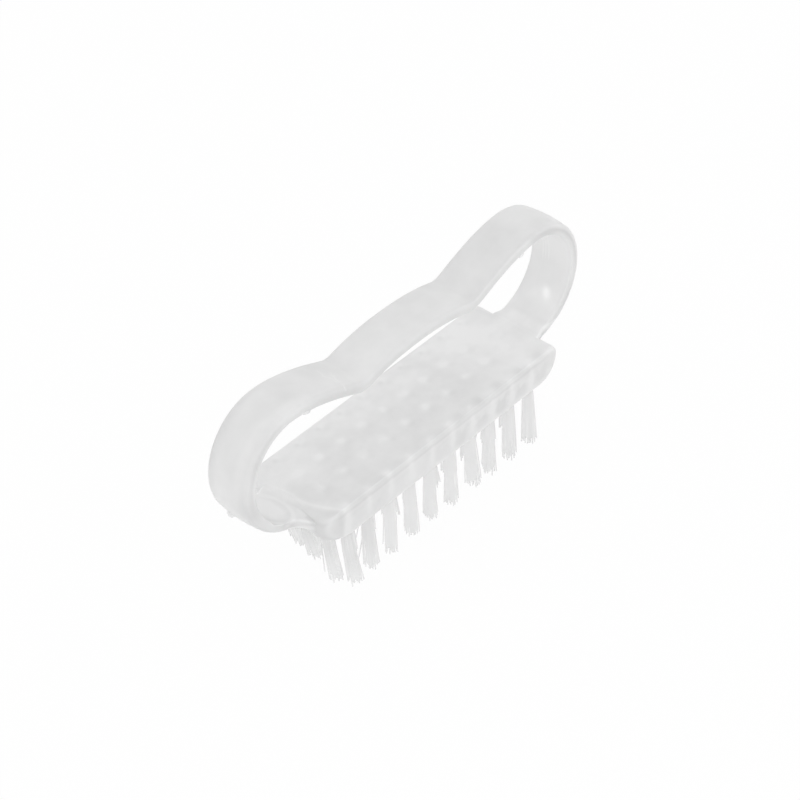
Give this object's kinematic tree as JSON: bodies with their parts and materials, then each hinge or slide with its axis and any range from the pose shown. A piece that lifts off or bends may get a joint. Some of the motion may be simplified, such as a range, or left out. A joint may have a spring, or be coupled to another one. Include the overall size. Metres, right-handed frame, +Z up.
{
  "type": "nail brush",
  "caption": "Small nail brush in frosted plastic: a wave-shaped finger handle over a narrow block with rows of short bristle tufts.",
  "frame": {"origin": "middle of the brush, on the plane of the bristle tips", "axes": "+X along the block towards the right-hand finger loop, +Y across it, +Z up from the bristle tips to the handle"},
  "size_m": [0.07, 0.016, 0.035],
  "materials": {
    "body": "frosted translucent, moulded",
    "bristles": "whitish translucent nylon",
    "anchor_wire": "plain flat wire"
  },
  "bodies": {
    "root": {"body": "body", "tuft_1_01": "bristles", "tuft_1_02": "bristles", "tuft_1_03": "bristles", "tuft_1_04": "bristles", "tuft_1_05": "bristles", "tuft_1_06": "bristles", "tuft_1_07": "bristles", "tuft_1_08": "bristles", "tuft_1_09": "bristles", "tuft_1_10": "bristles", "tuft_2_01": "bristles", "tuft_2_02": "bristles", "tuft_2_03": "bristles", "tuft_2_04": "bristles", "tuft_2_05": "bristles", "tuft_2_06": "bristles", "tuft_2_07": "bristles", "tuft_2_08": "bristles", "tuft_2_09": "bristles", "tuft_2_10": "bristles", "tuft_3_01": "bristles", "tuft_3_02": "bristles", "tuft_3_03": "bristles", "tuft_3_04": "bristles", "tuft_3_05": "bristles", "tuft_3_06": "bristles", "tuft_3_07": "bristles", "tuft_3_08": "bristles", "tuft_3_09": "bristles", "tuft_3_10": "bristles", "tuft_4_01": "bristles", "tuft_4_02": "bristles", "tuft_4_03": "bristles", "tuft_4_04": "bristles", "tuft_4_05": "bristles", "tuft_4_06": "bristles", "tuft_4_07": "bristles", "tuft_4_08": "bristles", "tuft_4_09": "bristles", "tuft_4_10": "bristles", "anchors_row_1": "anchor_wire", "anchors_row_2": "anchor_wire", "anchors_row_3": "anchor_wire", "anchors_row_4": "anchor_wire"}
  },
  "joints": []
}
